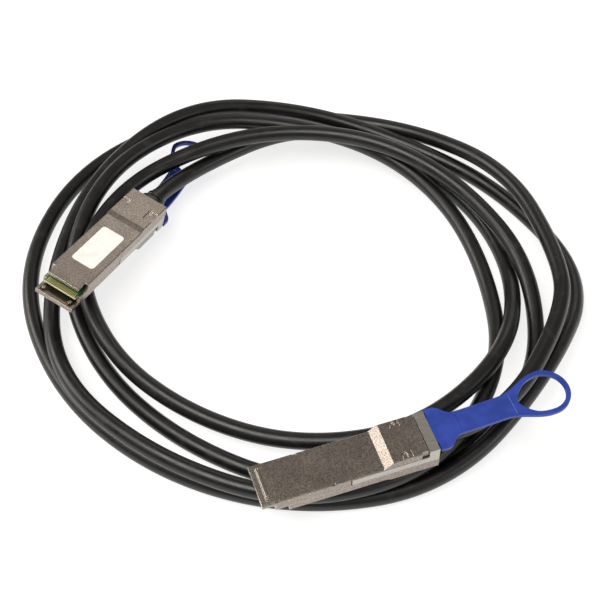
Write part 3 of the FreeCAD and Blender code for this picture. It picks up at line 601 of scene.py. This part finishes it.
# ------------------------------------------------------------------ the pull tab
@dataclass
class PullTab:
    """The moulded pull tab: flared root, neck with a sunk panel, and a ribbon finger loop."""

    pose: PlugPose
    level: float = 9.9
    thickness: float = 1.5
    root: float = -0.3
    base_end: float = -3.4
    flare_end: float = -10.2
    neck_end: float = -30.0
    panel_end: float = -35.6
    window_start: float = -37.2
    window_rise: float = 7.0
    loop_middle: float = -49.2
    tip: float = -59.4
    base_half: float = 9.6
    neck_half: float = 5.1
    loop_half: float = 10.2
    ribbon: float = 1.9
    slit_half: float = 0.6
    border: float = 0.9
    emboss: float = 0.3
    edge: float = 0.4
    tongue: float = 1.4
    tongue_share: float = 0.62
    tongue_height: float = 0.4
    flare_rows: int = 9
    neck_rows: int = 5
    panel_rows: int = 3
    window_steps: int = 8
    side_steps: int = 3
    end_steps: int = 28
    edge_steps: int = 3

    def bend(self, along: float) -> float:
        """Return how far the tab is bent sideways at a place along it."""
        return self.pose.sway * (along / self.tip) ** 2

    def outer(self, along: float) -> float:
        """Return the tab's half width at a place along it.

        Args:
            along: The place, 0 at the plug's rear face and negative towards the finger loop.

        Returns:
            The half width in millimetres.
        """
        if along > self.flare_end:
            share = min(max((along - self.flare_end) / (self.base_end - self.flare_end), 0.0), 1.0)
            return self.neck_half + eased(share) * (self.base_half - self.neck_half)
        share = (self.neck_end - along) / (self.neck_end - self.loop_middle)
        return self.neck_half + eased(share) * (self.loop_half - self.neck_half)

    def rows(self) -> list[float]:
        """Divide the solid part of the tab into rows of points.

        Returns:
            The rows' places along the tab, from the root to the window.
        """
        rows = [self.base_end]
        for end, count in ((self.flare_end, self.flare_rows), (self.neck_end, self.neck_rows),
                           (self.panel_end, self.panel_rows)):
            start = rows[-1]
            rows += [start + (end - start) * step / count for step in range(1, count + 1)]
        return rows + [self.window_start]

    def ribbon_points(self, side: int) -> list[tuple[Vector, Vector]]:
        """Return one side of the finger loop as pairs of points: its outer and its inner edge.

        Args:
            side: 1 for the left side, -1 for the right.

        Returns:
            The pairs, from the tab's solid part to the loop's middle.
        """
        steps = self.window_steps
        pairs = []
        for step in range(steps + 1):
            angle = math.pi / 2 * step / steps
            out_x = self.window_start - self.window_rise * step / steps
            in_x = self.window_start - self.window_rise * (1 - math.cos(angle))
            room = (self.outer(in_x) - self.ribbon) * math.sin(angle)
            pairs.append((out_x, self.outer(out_x), in_x, max(room, self.slit_half)))
        start = self.window_start - self.window_rise
        for step in range(1, self.side_steps + 1):
            along = start + (self.loop_middle - start) * step / self.side_steps
            pairs.append((along, self.outer(along), along, self.outer(along) - self.ribbon))
        return [(Vector((out_x, self.bend(out_x) + side * out_y, self.level)),
                 Vector((in_x, self.bend(in_x) + side * in_y, self.level)))
                for out_x, out_y, in_x, in_y in pairs]

    def draw_rows(self) -> None:
        """Draw the solid part: extrude the last row to the next place and set its width."""
        rows = self.rows()
        for last, along in zip(rows, rows[1:]):
            pick(Part.EDGES, lambda edge: all(abs(point.co.x - last) < SAME_PLACE
                                              for point in edge.verts))
            move = (along - last, self.bend(along) - self.bend(last), 0)
            bpy.ops.mesh.extrude_edges_move(TRANSFORM_OT_translate={"value": move})
            centre = Vector((along, self.bend(along), self.level))
            pick(Part.POINTS, lambda point: abs(point.co.x - along) < SAME_PLACE
                 and abs(point.co.y - centre.y) > 2 * self.slit_half)
            bpy.ops.transform.resize(value=(1, self.outer(along) / self.outer(last), 1),
                                     center_override=centre)

    def draw_ribbon(self, side: int) -> None:
        """Draw one side of the loop: extrude its end edge pair by pair.

        Args:
            side: 1 for the left side, -1 for the right.
        """
        pairs = self.ribbon_points(side)
        for (out_last, in_last), (out_next, in_next) in zip(pairs, pairs[1:]):
            here = (out_last + in_last) / 2
            pick(Part.EDGES, lambda edge: (middle(edge) - here).length < SAME_PLACE)
            move = out_next - out_last
            bpy.ops.mesh.extrude_edges_move(TRANSFORM_OT_translate={"value": move})
            pick(Part.POINTS, lambda point: (point.co - in_last - move).length < SAME_PLACE)
            bpy.ops.transform.translate(value=in_next - in_last - move)

    def close_loop(self) -> None:
        """Turn the left ribbon's end round to meet the right one, and join them."""
        hub = Vector((self.loop_middle, self.bend(self.loop_middle), self.level))
        pick(Part.EDGES, lambda edge: all(abs(point.co.x - hub.x) < SAME_PLACE for point in edge.verts)
             and middle(edge).y > hub.y)
        bpy.ops.mesh.spin(steps=self.end_steps, angle=-math.pi, center=hub, axis=(0, 0, 1))
        bpy.ops.mesh.select_all(action="SELECT")
        bpy.ops.mesh.remove_doubles(threshold=10 * SAME_PLACE)

    def begin(self) -> bpy.types.Object:
        """Add the tab's root: a strip three cells wide, the middle one as narrow as the slit.

        Returns:
            The new piece, in edit mode.
        """
        bpy.ops.object.select_all(action="DESELECT")
        start = ((self.root + self.base_end) / 2, 0, self.level)
        bpy.ops.mesh.primitive_grid_add(x_subdivisions=1, y_subdivisions=3, size=1, location=start)
        item = bpy.context.object
        item.name = f"{self.pose.prefix}_moulded_tab"
        bpy.ops.object.transform_apply(location=True, rotation=False, scale=False)
        start_edit(item)
        bpy.ops.transform.resize(value=(self.root - self.base_end, 2 * self.base_half, 1),
                                 center_override=start)
        third = self.base_half / 3
        pick(Part.POINTS, lambda point: abs(point.co.y) < third + SAME_PLACE)
        bpy.ops.transform.resize(value=(1, self.slit_half / third, 1), center_override=start)
        pick(Part.POINTS, lambda point: point.co.x < start[0])
        bpy.ops.transform.translate(value=(0, self.bend(self.base_end), 0))
        return item

    def thicken(self) -> None:
        """Give the flat outline its thickness."""
        bpy.ops.mesh.extrude_region_move(
            TRANSFORM_OT_translate={"value": (0, 0, self.thickness)})
        bpy.ops.mesh.select_all(action="SELECT")
        bpy.ops.mesh.normals_make_consistent(inside=False)

    def sink_panels(self) -> None:
        """Sink the neck's panel on both broad sides."""
        for height in (self.level + self.thickness, self.level):
            pick(Part.FACES, lambda face: abs(face.calc_center_median().z - height) < SAME_PLACE
                 and self.panel_end < face.calc_center_median().x < self.flare_end)
            bpy.ops.mesh.inset(thickness=self.border, depth=0)
            bpy.ops.mesh.inset(thickness=self.emboss, depth=-self.emboss)

    def add_tongue(self) -> None:
        """Draw the thin tongue that reaches under the latch's bridge out of the root's end."""
        top = self.level + self.thickness
        pick(Part.FACES, lambda face: face.normal.x > FACING
             and face.calc_center_median().x > self.root - SAME_PLACE)
        bpy.ops.mesh.extrude_region_move(TRANSFORM_OT_translate={"value": (0, 0, 0)})
        bpy.ops.transform.resize(value=(1, self.tongue_share, self.tongue_height),
                                 center_override=(0, 0, top))
        bpy.ops.mesh.extrude_region_move(TRANSFORM_OT_translate={"value": (self.tongue, 0, 0)})

    def build(self, plastic: bpy.types.Material) -> bpy.types.Object:
        """Model the tab and let it ride on its latch.

        Args:
            plastic: Its finish.

        Returns:
            The finished tab.
        """
        item = self.begin()
        self.draw_rows()
        self.draw_ribbon(1)
        self.draw_ribbon(-1)
        self.close_loop()
        self.thicken()
        self.sink_panels()
        self.add_tongue()
        pick(Part.EDGES, is_rim)
        bpy.ops.mesh.bevel(offset=self.edge, segments=self.edge_steps, affect="EDGES",
                           clamp_overlap=True)
        return complete(item, self.pose.matrix(), plastic, self.pose.latch_body,
                        f"{self.pose.prefix}_pull_tab")


# ------------------------------------------------------------------ the cable
@dataclass
class CopperCable:
    """One length of black cable from boot to boot, wound loosely about four and a half times."""

    diameter: float = 7.2
    length: float = 2870.0
    axis_height: float = 4.7
    boot_length: float = 9.0
    lead_in: float = 20.0
    lead_out: float = 24.0
    centre: tuple[float, float] = (1.9, 19.1)
    first_angle: float = 90.0
    step: float = 30.0
    smoothness: int = 20
    roundness: int = 7
    reach: tuple = (
        (94, 88.5, 93, 95.5, 99.5, 96.5, 89, 87.5, 93, 99, 94, 80.5),
        (76.5, 79, 86, 102, 115.5, 112, 106, 98, 99, 104.5, 104.5, 98),
        (84.5, 81, 79, 83, 98.5, 114.5, 117.5, 113.5, 117, 111, 110.5, 108),
        (100, 99, 110, 128.5, 118, 120, 115, 113.5, 117.5, 124.5, 122.5, 107),
        (103.5, 109, 111.5, 112.5),
    )
    height: tuple = (
        (9.5, 6, 3.8, 7, 18.5, 12.5, 8, 9.5, 12.5, 17, 15.5, 21),
        (22, 22, 19.5, 14, 3.8, 3.8, 3.8, 5, 6.5, 10.5, 20, 21),
        (17.5, 13.5, 11.5, 7.5, 9, 11.5, 11.5, 13, 12.5, 7, 14, 22),
        (13, 5, 3.8, 3.8, 17, 4, 3.8, 3.8, 3.8, 6, 8.5, 14),
        (5, 5, 17, 21),
    )
    end: tuple[float, float, float] = (-15.0, 115.5, 21.0)

    def boot_end(self, pose: PlugPose) -> tuple[Vector, Vector]:
        """Return where the cable leaves a boot.

        Args:
            pose: Where the boot's plug lies.

        Returns:
            The middle of the boot's rear face and the way out of it.
        """
        matrix = pose.matrix()
        out = (matrix.to_3x3() @ Vector((-1, 0, 0))).normalized()
        return matrix @ Vector((-self.boot_length, 0, self.axis_height)), out

    def coil_point(self, angle: float, reach: float, height: float) -> Vector:
        """Return a point of the coil.

        Args:
            angle: Its direction from the coil's centre in degrees.
            reach: Its distance from the centre.
            height: Its height above the floor.

        Returns:
            The point in metres.
        """
        turn = math.radians(angle)
        return Vector((self.centre[0] + reach * math.cos(turn),
                       self.centre[1] + reach * math.sin(turn), height)) * MM

    def route(self) -> list[Vector]:
        """Put the whole route together.

        Returns:
            Its points in metres, from the first boot, round the coil, to the second boot.
        """
        start, start_out = self.boot_end(PLUG_A)
        finish, finish_out = self.boot_end(PLUG_B)
        points = [start, start + start_out * self.lead_in * MM]
        angle = self.first_angle
        for reaches, heights in zip(self.reach, self.height):
            for reach, height in zip(reaches, heights):
                points.append(self.coil_point(angle, reach, height))
                angle -= self.step
        points.append(self.coil_point(*self.end))
        return points + [finish + finish_out * self.lead_out * MM, finish]

    def line(self, name: str, bevel: float) -> bpy.types.Mesh:
        """Read the mesh of the route's smooth line, bare or with a round section.

        Args:
            name: The mesh's name.
            bevel: The section's radius in millimetres, 0 for the bare line.

        Returns:
            The mesh, in the frame's metres.
        """
        curve = bpy.data.curves.new(name, "CURVE")
        curve.dimensions = "3D"
        points = self.route()
        spline = curve.splines.new("NURBS")
        spline.points.add(len(points) - 1)
        for place, point in zip(spline.points, points):
            place.co = (*point, 1.0)
        spline.order_u = 3
        spline.use_endpoint_u = True
        spline.resolution_u = self.smoothness
        curve.bevel_depth = bevel * MM
        curve.bevel_resolution = self.roundness
        curve.use_fill_caps = bevel > 0
        carrier = bpy.data.objects.new(name, curve)
        bpy.context.scene.collection.objects.link(carrier)
        bpy.context.view_layer.update()
        mesh = bpy.data.meshes.new_from_object(carrier)
        mesh.name = name
        bpy.data.objects.remove(carrier)
        return mesh

    def build(self, jacket: bpy.types.Material) -> bpy.types.Object:
        """Args:
            jacket: Its finish.

        Returns:
            The finished cable.
        """
        path = [tuple(vertex.co) for vertex in self.line("cable_line", 0.0).vertices]
        mesh = self.line("black_cable", self.diameter / 2)
        mesh.shade_smooth()
        mesh.materials.clear()
        mesh.materials.append(jacket)
        cable = bpy.data.objects.new("black_cable", mesh)
        bpy.context.scene.collection.objects.link(cable)
        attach(cable, FIXED_BODY)
        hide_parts("cable_jacket")
        return cable


# ------------------------------------------------------------------ the plugs
def dress(node: str, material: bpy.types.Material) -> None:
    """Give a CAD node a finish in every one of its material slots.

    Args:
        node: The node's name.
        material: The finish.
    """
    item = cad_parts[node]
    if not item.data.materials:
        item.data.materials.append(material)
    for slot in item.material_slots:
        slot.material = material


@dataclass
class Finishes:
    """The finishes that both plugs share."""

    nickel: bpy.types.Material
    blue: bpy.types.Material
    rubber: bpy.types.Material
    film: bpy.types.Material
    gold: bpy.types.Material
    epoxy: bpy.types.Material

    @classmethod
    def mix(cls) -> "Finishes":
        """Make the shared finishes.

        Returns:
            The finishes.
        """
        return cls(
            nickel=CastNickel("nickel_plated_die_cast_zinc", "#a89e95", "#796f67", 0.32, 1.0).make(),
            blue=MouldedPlastic("moulded_blue_polymer", "#253f9c", "#1e358a", 0.42).make(),
            rubber=MouldedPlastic("moulded_black_elastomer", "#161617", "#0f0f10", 0.3).make(),
            film=PrintedFilm("white_label_film", "#f7f5f1", "#ebe8e3", 0.5).make(),
            # the pads' pale edge colour is partly worn gold, partly a painted highlight
            gold=CastNickel("gold_plated_pads", "#f0dc9c", "#e0c274", 0.42, 0.7, grain=0.4,
                            depth=0.003, edge=0.05, rubbed_and_highlight="#fbeec2").make(),
            epoxy=MouldedPlastic("black_moulded_epoxy", "#1a1a1c", "#131315", 0.55).make())


@dataclass
class ModulePlug:
    """One latching plug: cast halves, card, latch, boot and label from the frame, and its tab."""

    pose: PlugPose
    shared: Finishes

    def steel(self) -> bpy.types.Material:
        """Make the stamped latch's finish, with a pattern of its own on each plug."""
        return DrawnMetal(f"{self.pose.prefix}_stamped_stainless", "#bdb8b1", "#a39e98", 0.34, 1.0,
                          self.pose.heading).make()

    def board(self) -> bpy.types.Material:
        """Make the card's finish, its broad sides along the plug's own up.

        Returns:
            The finish.
        """
        up = self.pose.matrix().to_3x3().normalized() @ Vector((0, 0, 1))
        return SolderMaskBoard(f"{self.pose.prefix}_green_masked_board", "#1f6b41", "#15512f", 0.4,
                               up=tuple(up)).make()

    def build(self) -> None:
        """Mould the tab and give every solid of the plug its finish."""
        shared = self.shared
        steel = self.steel()
        board = self.board()
        PullTab(self.pose).build(shared.blue)
        finishes = {
            "base_shell": shared.nickel, "cover_shell": shared.nickel, "latch_slider": steel,
            "cover_screws": steel, "return_springs": steel, "crimp_ferrule": shared.gold,
            "paddle_card": board, "contact_pads": shared.gold, "memory_chip": shared.epoxy,
            "potting_block": shared.epoxy, "twinax_leads": shared.film,
            "strain_relief_boot": shared.rubber, "label": shared.film,
        }
        for part, material in finishes.items():
            dress(f"{self.pose.prefix}_{part}", material)


def main() -> None:
    """Build the studio, the cable and the two plugs in order."""
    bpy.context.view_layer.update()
    Studio().build()
    LOG.info("studio ready")
    jacket = ExtrudedJacket("extruded_pvc_jacket", "#171615", "#0b0a0a", 0.34).make()
    CopperCable().build(jacket)
    LOG.info("cable laid")
    shared = Finishes.mix()
    for pose in (PLUG_A, PLUG_B):
        ModulePlug(pose, shared).build()
        LOG.info("%s dressed, its tab moulded", pose.prefix)


if __name__ == "__main__":
    logging.basicConfig(level=logging.INFO)
    main()
